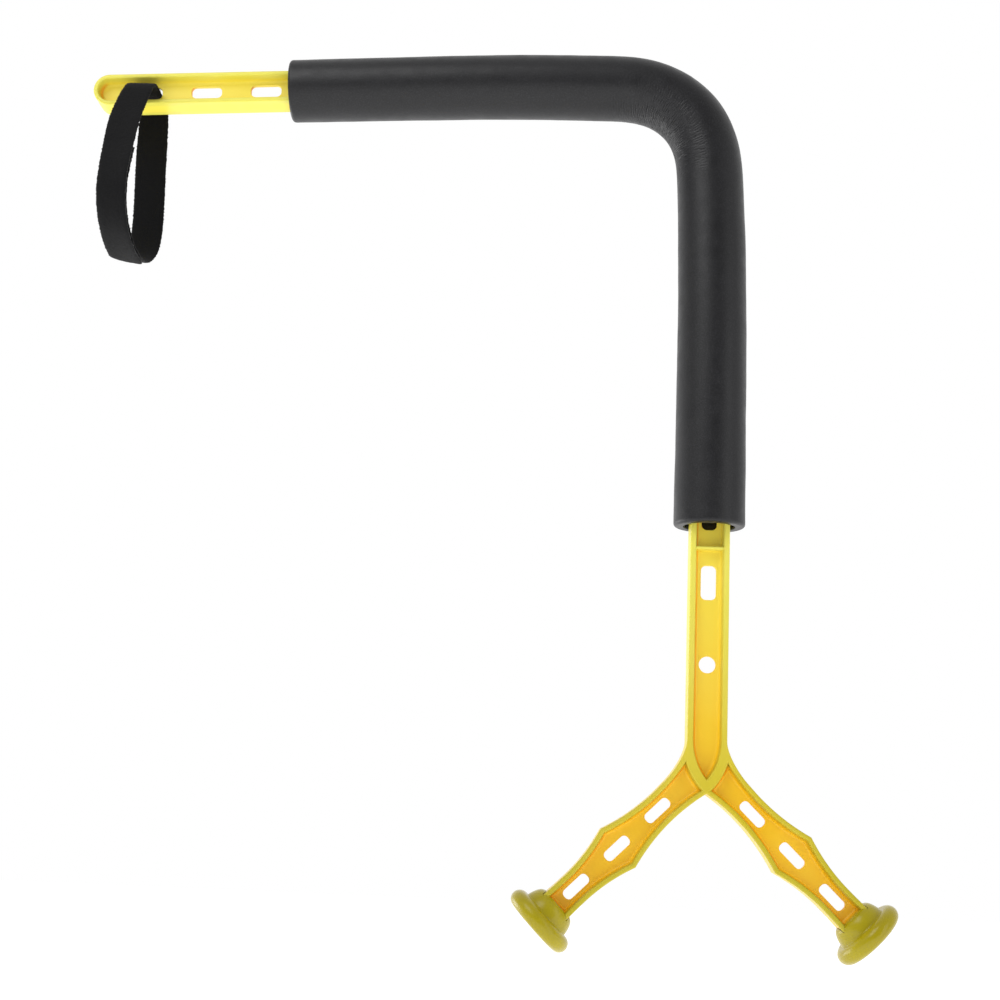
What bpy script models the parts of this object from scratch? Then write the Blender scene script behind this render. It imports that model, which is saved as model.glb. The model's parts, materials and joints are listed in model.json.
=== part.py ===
"""A golf-swing trainer brace: a yellow moulded L with a foam sleeve round its corner, a Y fork with
two round end pads at the bottom, and a hook-and-loop wrist strap through the slot at the free end.

Metres, +Z up, +Y away from the front. The origin is where the centrelines of the arm and the stem meet,
on the outer side of the bend. The stem hangs along -Z and the arm runs along -X, dropping a little.
"""

import math

import bmesh
import bpy
from mathutils import Matrix, Vector

# Section of the two mouldings: an I with a web between two rims
DEPTH = 0.0190
WEB = 0.003
ARM_WIDTH = 0.0210
STEM_WIDTH = 0.0241
ARM_RIM = 0.0029
STEM_RIM = 0.0036
LEG_RIM = 0.0031

# Arm and bend: most of the turn is in the bend, and a small share of it in long tails on both sides
ARM_DROP = math.radians(2.9)
ARM_TIP = 0.4086
BEND_LENGTH = 0.110
BEND_TAILS = 0.400
TAIL_SHARE = 0.11
ARM_SLOTS = (0.3748, 0.3354, 0.2960)
ARM_SLOT_SIZE = (0.0200, 0.0080)
SLOT_CORNER = 0.0032

# Lap joint between the bend and the stem, hidden in the sleeve
LAP_TOP = -0.221
LAP_LENGTH = 0.040
LAP_GAP = 0.0003
SCREW_HEIGHTS = (-0.231, -0.251)
SCREW_RADIUS = 0.002
SCREW_HEAD = (0.004, 0.0026)
NUT = (0.0038, 0.0032)
HOLE_PLAY = 0.0003

# Stem of the fork
STEM_SLOTS = (-0.2880, -0.3316)
STEM_SLOT_SIZE = (0.0094, 0.0213)
STEM_RIB = -0.3108
RIB_THICKNESS = 0.0020
RIB_DROP = 0.0012
ROUND_HOLE = (-0.3821, 0.0051)
FLARE_TOP = -0.4285
STEM_POCKET_TIP = -0.4513

# Legs of the fork: q runs along the leg from the junction, and n across it
JUNCTION = -0.4428
LEG_ANGLE = math.radians(45.6)
LEG_END = 0.1240
WAISTS = (0.0360, 0.1075)
WAIST_HALVES = (0.0097, 0.0096)
ELBOW = (0.0725, 0.0152)
END_FLARE = (0.0160, 0.0004)
FLARE_JOIN = 0.0270
LEG_SLOTS = (0.0397, 0.0729, 0.1061)
LEG_SLOT_SIZE = (0.0182, 0.0066)
LEG_SLOT_CORNER = 0.0027
LEG_POCKET_END = 0.1216
TENON = (0.0120, 0.0080, 0.0060)

# End pads: the domed hub's mouth reaches over the leg's end
PAD_MOUTH = 0.1210
PAD_FLANGE = 0.1305
PAD_FACE = 0.1411
PAD_RADIUS = 0.0226
HUB_RADIUS = 0.0153
HUB_MOUTH = 0.0112

# Foam sleeve
SLEEVE_ARM_END = 0.2792
SLEEVE_STEM_END = -0.2967
SLEEVE_RADII = (0.0201, 0.0222)
SLEEVE_BORES = (0.0147, 0.0159)

# Strap, as a path in the YZ plane about the outermost slot's centre
STRAP_WIDTH = 0.0212
STRAP_PINCHED = 0.0190
STRAP_THICKNESS = 0.0016
PATCH_THICKNESS = 0.0012
LAYER_GAP = 0.0003
STRAP_LOOP = (
    (0.000, 0.000),
    (-0.0132, 0.0000),
    (-0.0196, -0.0046),
    (-0.0280, -0.0270),
    (-0.0365, -0.0500),
    (-0.0435, -0.0700),
    (-0.0450, -0.0870),
    (-0.0355, -0.1015),
    (-0.0160, -0.1110),
    (0.0040, -0.1135),
    (0.0180, -0.1050),
    (0.0255, -0.0900),
    (0.0260, -0.0700),
    (0.0215, -0.0380),
    (0.0190, -0.0048),
    (0.0130, 0.0000),
)
STRAP_START = 4.25
STRAP_END = 24.6
STRAP_RISE = (17.0, 20.0)
STRAP_SKEW = 0.0045
PATCH_SPAN = (20.5, 24.4)

ARM_DIRECTION = Vector((-math.cos(ARM_DROP), 0, -math.sin(ARM_DROP)))
ARM_UP = Vector((-math.sin(ARM_DROP), 0, math.cos(ARM_DROP)))


def clear_scene():
    for old in list(bpy.data.objects):
        bpy.data.objects.remove(old, do_unlink=True)


def make_material(name, color, roughness, metallic=0.0):
    material = bpy.data.materials.new(name)
    material.use_nodes = True
    shader = material.node_tree.nodes["Principled BSDF"]
    shader.inputs["Base Color"].default_value = (*color, 1.0)
    shader.inputs["Roughness"].default_value = roughness
    shader.inputs["Metallic"].default_value = metallic
    return material


def make_object(name, bm, material, smooth=False):
    """An object from a bmesh, with its faces pointing out."""
    bmesh.ops.recalc_face_normals(bm, faces=bm.faces)
    mesh = bpy.data.meshes.new(name)
    bm.to_mesh(mesh)
    bm.free()
    if smooth:
        mesh.shade_smooth()
        mesh.set_sharp_from_angle(angle=math.radians(40))
    made = bpy.data.objects.new(name, mesh)
    bpy.context.scene.collection.objects.link(made)
    if material:
        mesh.materials.append(material)
    else:
        made.hide_render = True
        made.display_type = "WIRE"
    return made


def prism(name, outline, low, high, material=None):
    """A solid between the planes y = low and y = high, from an outline of (x, z) points."""
    bm = bmesh.new()
    face = bm.faces.new([bm.verts.new((x, low, z)) for x, z in outline])
    grown = bmesh.ops.extrude_face_region(bm, geom=[face])["geom"]
    tops = [v for v in grown if isinstance(v, bmesh.types.BMVert)]
    bmesh.ops.translate(bm, verts=tops, vec=(0, high - low, 0))
    return make_object(name, bm, material)


def boolean(target, other, operation="DIFFERENCE"):
    modifier = target.modifiers.new(other.name, "BOOLEAN")
    modifier.operation = operation
    modifier.solver = "EXACT"
    modifier.object = other


def arc(centre, radius, start, end, steps):
    """Points along a circular arc, from start to end in radians."""
    angles = [start + (end - start) * i / steps for i in range(steps + 1)]
    return [(centre[0] + radius * math.cos(a), centre[1] + radius * math.sin(a)) for a in angles]


def bezier(points, steps):
    """Points along a Bezier curve of any degree, both ends included."""
    found = []
    for i in range(steps + 1):
        level = [Vector(p) for p in points]
        while len(level) > 1:
            level = [a.lerp(b, i / steps) for a, b in zip(level, level[1:])]
        found.append(tuple(level[0]))
    return found


def rounded_rectangle(length, width, corner):
    """Outline of a slot about its own centre, with its length along the first axis."""
    points = []
    for turn, (sx, sy) in enumerate(((1, 1), (-1, 1), (-1, -1), (1, -1))):
        centre = (sx * (length / 2 - corner), sy * (width / 2 - corner))
        points += arc(centre, corner, turn * math.pi / 2, (turn + 1) * math.pi / 2, 4)
    return points


def arm_point(s, h):
    """(x, z) of a point s along the arm from the corner and h above its centreline."""
    at = ARM_DIRECTION * s + ARM_UP * h
    return at.x, at.z


def leg_point(side, q, n):
    """(x, z) of a point q along a leg from the junction and n to its outer side."""
    along = (math.sin(LEG_ANGLE), -math.cos(LEG_ANGLE))
    across = (math.cos(LEG_ANGLE), math.sin(LEG_ANGLE))
    return side * (along[0] * q + across[0] * n), JUNCTION + along[1] * q + across[1] * n


def smooth_step(x):
    x = min(1.0, max(0.0, x))
    return x * x * (3 - 2 * x)


def bend_heading(share):
    """Direction of travel from arm to stem, above +X, at a share of the way along bend and tails."""
    bend = smooth_step((share - 0.5) * BEND_TAILS / BEND_LENGTH + 0.5)
    turned_by = (1 - TAIL_SHARE) * bend + TAIL_SHARE * smooth_step(share)
    return ARM_DROP - (math.pi / 2 + ARM_DROP) * turned_by


def bend_stations(steps=44, parts=8):
    """Centreline of the bend, from arm to stem: (point, vector to the outside, share of the way round)."""
    count = steps * parts
    at = Vector((0, 0, 0))
    found = []
    for i in range(count + 1):
        if i % parts == 0:
            heading = bend_heading(i / count)
            found.append((at.copy(), Vector((-math.sin(heading), 0, math.cos(heading))), i / count))
        heading = bend_heading((i + 0.5) / count)
        at += Vector((math.cos(heading), 0, math.sin(heading))) * BEND_TAILS / count
    reach = found[-1][0].x
    shift = Vector((-reach, 0, -reach * math.tan(ARM_DROP)))
    return [(point + shift, outward, share) for point, outward, share in found]


def mix(a, b, share):
    return a + (b - a) * share


def bar_band(start, end, arm_half, stem_half, cap_steps):
    """Outline of a band along arm, bend and stem, round at the arm's end and square at the stem's."""
    outer, inner = [], []
    for point, outward, share in bend_stations():
        half = mix(arm_half, stem_half, share)
        outer.append(point + outward * half)
        inner.append(point - outward * half)
    cap = []
    for h, s in arc((0, 0), arm_half, math.pi, 0, cap_steps):
        at = ARM_DIRECTION * (start - arm_half + s) + ARM_UP * h
        cap.append((at.x, at.z))
    outline = cap + [(p.x, p.z) for p in outer]
    outline += [(stem_half, end), (-stem_half, end)]
    return outline + [(p.x, p.z) for p in reversed(inner)]


def leg_half(q):
    """Half the width of a leg at q: two waists with a corner between them, and a small flare at the end."""
    waist = 0 if q < ELBOW[0] else 1
    if q > WAISTS[1]:
        return WAIST_HALVES[1] + END_FLARE[1] * ((q - WAISTS[1]) / END_FLARE[0]) ** 2
    share = (q - WAISTS[waist]) / (ELBOW[0] - WAISTS[waist])
    return WAIST_HALVES[waist] + (ELBOW[1] - WAIST_HALVES[waist]) * share**2


def leg_stations(start, end):
    """Places along a leg for its curved edges, with one on its corner and one on each waist."""
    places = {start, end}
    spans = ((start, WAISTS[0], 4), (WAISTS[0], ELBOW[0], 6), (ELBOW[0], WAISTS[1], 6), (WAISTS[1], end, 3))
    for low, high, steps in spans:
        places |= {round(mix(low, high, i / steps), 7) for i in range(steps + 1)}
    return sorted(places)


def leg_edge(side, across, start, end, inset=0.0):
    """One edge of a leg, across = 1 for the outer side and -1 for the inner one."""
    return [leg_point(side, q, across * (leg_half(q) - inset)) for q in leg_stations(start, end)]


def crotch_place():
    """Where the inner edges of the two legs meet, as q."""
    q = 0.011
    for _ in range(20):
        q = leg_half(q) / math.tan(LEG_ANGLE)
    return q


def fork_outline():
    half = []
    join = Vector(leg_point(1, FLARE_JOIN, leg_half(FLARE_JOIN)))
    along = Vector(leg_point(1, 1, 0)) - Vector(leg_point(1, 0, 0))
    top = Vector((STEM_WIDTH / 2, FLARE_TOP))
    half += [(STEM_WIDTH / 2, LAP_TOP - LAP_GAP)]
    half += bezier((top, top - Vector((0, 0.0075)), join - along * 0.009, join), 8)
    half += leg_edge(1, 1, FLARE_JOIN, LEG_END)[1:]
    half += reversed(leg_edge(1, -1, crotch_place(), LEG_END)[1:])
    crotch = leg_point(1, crotch_place(), -leg_half(crotch_place()))
    return half + [(0, crotch[1])] + [(-x, z) for x, z in reversed(half)]


def stem_pocket(top, bottom=None):
    """Outline of a pocket in the stem, square at both ends or running down into the V between the legs."""
    half = STEM_WIDTH / 2 - STEM_RIM
    if bottom is not None:
        return [(-half, top), (half, top), (half, bottom), (-half, bottom)]
    start = (half, FLARE_TOP)
    side = bezier((start, (half - 0.0007, FLARE_TOP - 0.014), (0, STEM_POCKET_TIP)), 8)
    return [(-half, top), (half, top)] + side + [(-x, z) for x, z in reversed(side[:-1])]


def leg_pocket(side):
    outer = leg_edge(side, 1, 0.0080, LEG_POCKET_END, LEG_RIM)
    inner = leg_edge(side, -1, 0.0125, LEG_POCKET_END, LEG_RIM)
    band = bezier((inner[0], (side * 0.0094, JUNCTION - 0.0084), outer[0]), 5)
    return outer + list(reversed(inner)) + band[1:-1]


def pocket_cutters(name, outline):
    """Two cutters that leave the web between them."""
    past = DEPTH
    yield prism(name + "_front", outline, -past, -WEB / 2)
    yield prism(name + "_back", outline, WEB / 2, past)


def through(name, outline):
    """A cutter through the whole depth."""
    return prism(name, outline, -DEPTH, DEPTH)


def screw_holes(name):
    for i, height in enumerate(SCREW_HEIGHTS):
        outline = arc((0, height), SCREW_RADIUS + HOLE_PLAY, 0, 2 * math.pi, 16)[:-1]
        yield prism(f"{name}_{i}", outline, -DEPTH, DEPTH)


def box_cutter(name, low, high):
    outline = [(low[0], low[2]), (high[0], low[2]), (high[0], high[2]), (low[0], high[2])]
    return prism(name, outline, low[1], high[1])


def make_arm_bar(material):
    end = LAP_TOP - LAP_LENGTH
    outline = bar_band(ARM_TIP, end, ARM_WIDTH / 2, STEM_WIDTH / 2, 14)
    bar = prism("arm_bar", outline, -DEPTH / 2, DEPTH / 2, material)
    arm_half = ARM_WIDTH / 2 - ARM_RIM
    pocket = bar_band(ARM_TIP - ARM_RIM, LAP_TOP + STEM_RIM, arm_half, STEM_WIDTH / 2 - STEM_RIM, 12)
    for cutter in pocket_cutters("arm_pocket", pocket):
        boolean(bar, cutter)
    for i, s in enumerate(ARM_SLOTS):
        outline = [arm_point(s + u, v) for u, v in rounded_rectangle(*ARM_SLOT_SIZE, SLOT_CORNER)]
        boolean(bar, through(f"arm_slot_{i}", outline))
    low = (-STEM_WIDTH, -LAP_GAP / 2, end - STEM_WIDTH)
    boolean(bar, box_cutter("arm_lap", low, (STEM_WIDTH, DEPTH, LAP_TOP)))
    for cutter in screw_holes("arm_screw_hole"):
        boolean(bar, cutter)
    return bar


def make_fork(material):
    fork = prism("fork", fork_outline(), -DEPTH / 2, DEPTH / 2, material)
    lap_end = LAP_TOP - LAP_LENGTH - LAP_GAP
    high = (STEM_WIDTH, LAP_GAP / 2, LAP_TOP + STEM_WIDTH)
    boolean(fork, box_cutter("stem_lap", (-STEM_WIDTH, -DEPTH, lap_end), high))
    for cutter in screw_holes("stem_screw_hole"):
        boolean(fork, cutter)
    upper = stem_pocket(lap_end - STEM_RIM, STEM_RIB + RIB_THICKNESS / 2)
    lower = stem_pocket(STEM_RIB - RIB_THICKNESS / 2)
    for name, outline in (("upper_pocket", upper), ("lower_pocket", lower)):
        for cutter in pocket_cutters(name, outline):
            boolean(fork, cutter)
    rib_half = STEM_WIDTH / 2 - STEM_RIM
    for name, low, high in (("front", -DEPTH, RIB_DROP - DEPTH / 2), ("back", DEPTH / 2 - RIB_DROP, DEPTH)):
        corner = (-rib_half, low, STEM_RIB - RIB_THICKNESS)
        boolean(fork, box_cutter("rib_" + name, corner, (rib_half, high, STEM_RIB + RIB_THICKNESS)))
    for i, height in enumerate(STEM_SLOTS):
        outline = [(u, height + v) for u, v in rounded_rectangle(*STEM_SLOT_SIZE, SLOT_CORNER)]
        boolean(fork, through(f"stem_slot_{i}", outline))
    hole = arc((0, ROUND_HOLE[0]), ROUND_HOLE[1], 0, 2 * math.pi, 28)[:-1]
    boolean(fork, through("round_hole", hole))
    for side, word in ((-1, "left"), (1, "right")):
        for cutter in pocket_cutters(word + "_pocket", leg_pocket(side)):
            boolean(fork, cutter)
        for i, q in enumerate(LEG_SLOTS):
            slot = rounded_rectangle(*LEG_SLOT_SIZE, LEG_SLOT_CORNER)
            boolean(fork, through(f"{word}_slot_{i}", [leg_point(side, q + u, v) for u, v in slot]))
        half = TENON[0] / 2
        ends = ((LEG_END - 0.001, half), (LEG_END + TENON[2], half))
        tenon = [leg_point(side, q, n) for q, n in ends]
        tenon += [leg_point(side, q, -n) for q, n in reversed(ends)]
        boolean(fork, prism(word + "_tenon", tenon, -TENON[1] / 2, TENON[1] / 2), "UNION")
    return fork


def turned(name, profile, material, steps):
    """A solid of revolution about Z, from a profile of (radius, z) that starts and ends on the axis."""
    bm = bmesh.new()
    points = [bm.verts.new((r, 0, z)) for r, z in profile]
    edges = [bm.edges.new(pair) for pair in zip(points, points[1:])]
    bmesh.ops.spin(bm, geom=points + edges, cent=(0, 0, 0), axis=(0, 0, 1), angle=2 * math.pi, steps=steps)
    bmesh.ops.remove_doubles(bm, verts=bm.verts, dist=1e-6)
    return make_object(name, bm, material, smooth=True)


def make_pad(side, word, material):
    """An end pad, laid along its leg: a domed hub with sockets, on a thick round-edged flange."""
    edge = (PAD_FACE - PAD_FLANGE) / 2
    rim = PAD_RADIUS - edge
    profile = [(0, PAD_MOUTH), (HUB_MOUTH, PAD_MOUTH)]
    dome = ((HUB_MOUTH, PAD_MOUTH), (0.0141, PAD_MOUTH + 0.0012), (HUB_RADIUS, PAD_MOUTH + 0.0065))
    profile += bezier(dome + ((HUB_RADIUS + 0.0004, PAD_FLANGE),), 8)[1:]
    profile += arc((rim, PAD_FLANGE + edge), edge, -math.pi / 2, math.pi / 2, 10)
    profile += [(0, PAD_FACE)]
    pad = turned(word + "_pad", profile, material, 48)
    along = Vector((side * math.sin(LEG_ANGLE), 0, -math.cos(LEG_ANGLE)))
    turn = Vector((0, 0, 1)).rotation_difference(along).to_matrix().to_4x4()
    turn = Matrix.Translation((0, 0, JUNCTION)) @ turn
    pad.matrix_world = turn
    sockets = (
        (leg_half(LEG_END), DEPTH / 2, LEG_END),
        (TENON[0] / 2, TENON[1] / 2, LEG_END + TENON[2]),
    )
    for i, (across, deep, bottom) in enumerate(sockets):
        half = across + HOLE_PLAY
        ends = (LEG_END - 0.02, bottom + LAP_GAP)
        outline = [(-half, ends[0]), (half, ends[0]), (half, ends[1]), (-half, ends[1])]
        cutter = prism(f"{word}_socket_{i}", outline, -deep - HOLE_PLAY, deep + HOLE_PLAY)
        cutter.matrix_world = turn
        boolean(pad, cutter)
    return pad


def sleeve_stations():
    """Rings along the sleeve: centre, outward vector in the XZ plane and share of the length."""
    bend = [(point, outward) for point, outward, _ in bend_stations()]
    start, end = bend[0][0], bend[-1][0]
    arm_end = ARM_DIRECTION * SLEEVE_ARM_END
    stem_end = Vector((0, 0, SLEEVE_STEM_END))
    right = Vector((1, 0, 0))
    rings = [(arm_end.lerp(start, share), ARM_UP) for share in (0, 0.5)]
    rings += bend
    rings += [(end.lerp(stem_end, share), right) for share in (0.5, 1)]
    lengths = [0.0]
    for (a, _), (b, _) in zip(rings, rings[1:]):
        lengths.append(lengths[-1] + (b - a).length)
    return [(point, outward, length / lengths[-1]) for (point, outward), length in zip(rings, lengths)]


def make_sleeve(material, sides=36):
    """A bent tube, open at both ends."""
    bm = bmesh.new()
    loops = []
    depth = Vector((0, 1, 0))
    for point, outward, share in sleeve_stations():
        pair = []
        for radius in (mix(*SLEEVE_RADII, share), mix(*SLEEVE_BORES, min(1, share * 2))):
            ring = []
            for i in range(sides):
                angle = 2 * math.pi * i / sides
                away = outward * math.cos(angle) + depth * math.sin(angle)
                ring.append(bm.verts.new(point + away * radius))
            pair.append(ring)
        loops.append(pair)
    for (outer_a, inner_a), (outer_b, inner_b) in zip(loops, loops[1:]):
        join_rings(bm, outer_a, outer_b)
        join_rings(bm, inner_b, inner_a)
    join_rings(bm, *reversed(loops[0]))
    join_rings(bm, *loops[-1])
    return make_object("foam_sleeve", bm, material, smooth=True)


def join_rings(bm, first, second):
    count = len(first)
    for i in range(count):
        j = (i + 1) % count
        bm.faces.new((first[i], first[j], second[j], second[i]))


def loop_point(t):
    """A smooth closed curve through the strap's points, and its outward normal, at t points along."""
    count = len(STRAP_LOOP)
    base = math.floor(t)
    share = t - base
    p = [Vector(STRAP_LOOP[(base + k) % count]) for k in (-1, 0, 1, 2)]
    at = 0.5 * (
        2 * p[1]
        + (p[2] - p[0]) * share
        + (2 * p[0] - 5 * p[1] + 4 * p[2] - p[3]) * share**2
        + (3 * p[1] - 3 * p[2] + p[3] - p[0]) * share**3
    )
    slope = 0.5 * (
        (p[2] - p[0])
        + 2 * (2 * p[0] - 5 * p[1] + 4 * p[2] - p[3]) * share
        + 3 * (3 * p[1] - 3 * p[2] + p[3] - p[0]) * share**2
    )
    slope.normalize()
    return at, Vector((slope.y, -slope.x))


def strap_rise(t):
    """How far the band stands outside its own first layer."""
    full = STRAP_THICKNESS + PATCH_THICKNESS + 2 * LAYER_GAP
    return full * smooth_step((t - STRAP_RISE[0]) / (STRAP_RISE[1] - STRAP_RISE[0]))


def strap_skew(t):
    """How far the front strand hangs to the left of the slot."""
    t = t % 16
    return -STRAP_SKEW * smooth_step((t - 1.6) / 1.8) * (1 - smooth_step((t - 7.5) / 3.5))


def strap_width(t):
    """Width of the strap, which is pinched where it passes the slot."""
    place = t % 16
    away = min(place, 16 - place)
    return mix(STRAP_PINCHED, STRAP_WIDTH, smooth_step((away - 1.4) / 1.6))


def make_band(name, start, end, offset, thickness, inset, material, steps_per_point=3):
    """A flat band along the strap's path between two places on it, offset outwards."""
    bm = bmesh.new()
    steps = round((end - start) * steps_per_point)
    centre = Vector(arm_point(ARM_SLOTS[0], 0))
    rings = []
    for i in range(steps + 1):
        t = mix(start, end, i / steps)
        at, outward = loop_point(t)
        ring = []
        for across, up in ((-1, -1), (1, -1), (1, 1), (-1, 1)):
            flat = at + outward * (offset(t) + up * thickness / 2)
            x = centre.x + strap_skew(t) + across * (strap_width(t) / 2 - inset)
            ring.append(bm.verts.new((x, flat.x, centre.y + flat.y)))
        rings.append(ring)
    for first, second in zip(rings, rings[1:]):
        join_rings(bm, first, second)
    bm.faces.new(rings[0])
    bm.faces.new(list(reversed(rings[-1])))
    return make_object(name, bm, material)


def make_strap(webbing, hooks):
    """The strap starts inside the front strand, goes round and up the back, and closes over itself."""
    make_band("strap", STRAP_START, STRAP_END, strap_rise, STRAP_THICKNESS, 0, webbing)
    below = STRAP_THICKNESS / 2 + LAYER_GAP + PATCH_THICKNESS / 2

    def patch_rise(t):
        return strap_rise(t) - below

    make_band("strap_hook_patch", *PATCH_SPAN, patch_rise, PATCH_THICKNESS, 0.0005, hooks)


def make_screws(material):
    """Screws with round heads at the front, and nuts at the back."""
    front = -DEPTH / 2 - LAP_GAP
    back = DEPTH / 2 + LAP_GAP
    lay = Matrix.Rotation(math.radians(90), 4, "X")
    for i, height in enumerate(SCREW_HEIGHTS):
        radius, head = SCREW_HEAD
        shank_end = back + NUT[1] + 0.001
        profile = [(0, -front + head), (radius * 0.7, -front + head)]
        profile += [(radius, -front + head * 0.5), (radius, -front)]
        profile += [(SCREW_RADIUS, -front), (SCREW_RADIUS, -shank_end), (0, -shank_end)]
        screw = turned(f"lap_screw_{i + 1}", profile, material, 16)
        screw.matrix_world = Matrix.Translation((0, 0, height)) @ lay
        hexagon = [(x, z + height) for x, z in arc((0, 0), NUT[0], 0, 2 * math.pi, 6)[:-1]]
        nut = prism(f"lap_nut_{i + 1}", hexagon, back, back + NUT[1], material)
        bore = arc((0, height), SCREW_RADIUS + HOLE_PLAY, 0, 2 * math.pi, 16)[:-1]
        boolean(nut, prism(f"nut_bore_{i + 1}", bore, back - 0.005, back + NUT[1] + 0.005))


def main():
    clear_scene()
    yellow = make_material("yellow_plastic", (0.90, 0.62, 0.05), 0.35)
    olive = make_material("pad_plastic", (0.55, 0.48, 0.06), 0.35)
    foam = make_material("black_foam", (0.03, 0.03, 0.033), 0.7)
    webbing = make_material("black_webbing", (0.012, 0.012, 0.014), 0.95)
    hooks = make_material("black_hooks", (0.015, 0.015, 0.016), 0.8)
    steel = make_material("zinc_steel", (0.6, 0.6, 0.6), 0.3, 1.0)
    make_arm_bar(yellow)
    make_fork(yellow)
    make_pad(-1, "left", olive)
    make_pad(1, "right", olive)
    make_screws(steel)
    make_sleeve(foam)
    make_strap(webbing, hooks)


main()
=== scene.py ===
"""Looks of the golf-swing trainer brace: yellow mouldings, end pads, foam sleeve and wrist strap.
Metres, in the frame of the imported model, +Z up and the front towards -Y.
"""

import json
import math

import bpy
import numpy as np
from mathutils import Matrix, Vector, geometry, noise


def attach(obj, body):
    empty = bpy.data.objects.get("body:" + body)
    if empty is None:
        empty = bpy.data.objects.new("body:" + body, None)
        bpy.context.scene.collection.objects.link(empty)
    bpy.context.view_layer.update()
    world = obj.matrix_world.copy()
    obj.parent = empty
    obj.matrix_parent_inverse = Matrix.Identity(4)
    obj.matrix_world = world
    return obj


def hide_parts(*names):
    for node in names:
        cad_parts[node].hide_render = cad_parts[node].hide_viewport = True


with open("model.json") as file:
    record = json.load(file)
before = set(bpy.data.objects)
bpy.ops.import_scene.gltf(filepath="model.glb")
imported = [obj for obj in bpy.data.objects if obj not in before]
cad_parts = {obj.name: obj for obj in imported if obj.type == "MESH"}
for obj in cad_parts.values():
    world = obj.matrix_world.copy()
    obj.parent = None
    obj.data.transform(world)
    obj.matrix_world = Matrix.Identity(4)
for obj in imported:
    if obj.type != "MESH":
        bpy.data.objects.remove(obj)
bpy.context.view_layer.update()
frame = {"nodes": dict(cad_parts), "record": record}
MOUNTS = {m["name"]: m for m in frame["record"]["mounts"]}

# Camera, fitted to the photograph's edges and slots
CAMERA_PLACE = (-0.09747, -0.98189, -0.47347)
CAMERA_LENS = 57.6
CAMERA_YAW = math.radians(1.929)
CAMERA_PITCH = math.radians(10.922)
CAMERA_ROLL = math.radians(-2.334)
SENSOR_WIDTH = 36

# Light: name, place, target, size and power of each lamp, in W
LAMPS = (
    ("key_above", (-0.7, -0.9, 0.7), (-0.1, 0, -0.2), (0.9, 0.9), 8),
    ("rim_left", (-1.15, 0.55, -0.7), (-0.05, 0, -0.2), (0.9, 0.9), 9),
    ("fill_right", (0.9, -0.7, -0.2), (0.0, 0, -0.3), (0.5, 0.9), 1.8),
)
TENT_LIGHT = (0.26, 1.15)  # strength of the tent before and behind the piece
FLOOR_HEIGHT = -0.75
FLOOR_HALF = 4.0

# Section of the mouldings
DEPTH = 0.0190
WEB = 0.003
ARM_WIDTH = 0.0210
STEM_WIDTH = 0.0241
ARM_RIM = 0.0029
STEM_RIM = 0.0036
LEG_RIM = 0.0031
EDGE_ROUND = 0.0011
SLOT_ROUND = 0.00035
CORNER_ROUND = 0.0009
DRAFT = 0.0007
ARM_FILLET = 0.0020
STEM_FILLET = 0.0022
LEG_FILLET = 0.0018
PARTING_RIDGE = (0.00005, 0.00006, 0.0002)  # height, and half widths of its crest and foot
OUTLINE_STEP = 0.004
POCKET_STEP = 0.0012
FILLET_SHARES = (0.07, 0.2, 0.4, 0.65, 1.0)
SAME_POINT = 2e-5
MITRE_LIMIT = 0.45
SOFT_TURN = math.radians(30)
SHARP_TURN = math.radians(18)

# Arm and bend
ARM_DROP = math.radians(2.9)
ARM_TIP = 0.4086
BEND_LENGTH = 0.110
BEND_TAILS = 0.400
TAIL_SHARE = 0.11
ARM_SLOTS = (0.3748, 0.3354, 0.2960)
ARM_SLOT_SIZE = (0.0200, 0.0080)
SLOT_CORNER = 0.0032

# Lap joint inside the sleeve
LAP_TOP = -0.221
LAP_LENGTH = 0.040
LAP_GAP = 0.0003
SCREW_HEIGHTS = (-0.231, -0.251)
SCREW_HOLE = 0.0023

# Stem of the fork
STEM_SLOTS = (-0.2880, -0.3316)
STEM_SLOT_SIZE = (0.0094, 0.0213)
STEM_RIB = -0.3108
RIB_THICKNESS = 0.0020
RIB_REACH = 0.0005
RIB_DROP = 0.0012
RIB_FOOT = ((0.85, -0.0004), (0.6, 0.0009), (0.5, 0.0022))  # half width in thicknesses, height
ROUND_HOLE = (-0.3821, 0.0051)
FLARE_TOP = -0.4285
FLARE_HANDLES = (0.0075, 0.009)
STEM_POCKET_TIP = -0.4513
STEM_POCKET_TAPER = (0.0007, 0.014)

# Legs of the fork
JUNCTION = -0.4428
LEG_ANGLE = math.radians(45.6)
LEG_END = 0.1240
WAISTS = (0.0360, 0.1075)
WAIST_HALVES = (0.0097, 0.0096)
ELBOW = (0.0725, 0.0152)
END_FLARE = (0.0160, 0.0004)
FLARE_JOIN = 0.0270
LEG_SLOTS = (0.0397, 0.0729, 0.1061)
LEG_SLOT_SIZE = (0.0182, 0.0066)
LEG_SLOT_CORNER = 0.0027
LEG_POCKET_STARTS = (0.0080, 0.0125)
LEG_POCKET_ARCH = (0.0094, 0.0084)
LEG_POCKET_END = 0.1216
TENON = (0.0120, 0.0080, 0.0060)
TENON_ROOT = 0.001

# End pads, measured back from the face
PAD_THICKNESS = 0.0106
PAD_RADIUS = 0.0226
HUB_LENGTH = 0.0201
PAD_MOUTH = 0.1210
HUB_RADIUS = 0.0153
HUB_MOUTH = 0.0112
HUB_LIP = ((-0.0004, 0), (-0.0001, 0.0001))  # growth from the mouth's radius, height over the mouth
HUB_DOME = ((HUB_MOUTH, 0.0003), (0.0141, 0.0012), (HUB_RADIUS, 0.0065))  # radius, height over it
HUB_ROOT = ((0.0004, -0.0012), (0.00055, -0.0004), (0.0009, 0), (0.0015, 0.00005))  # growth, height
PAD_PLAY = 0.0003
TURN_STEPS = 120

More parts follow.
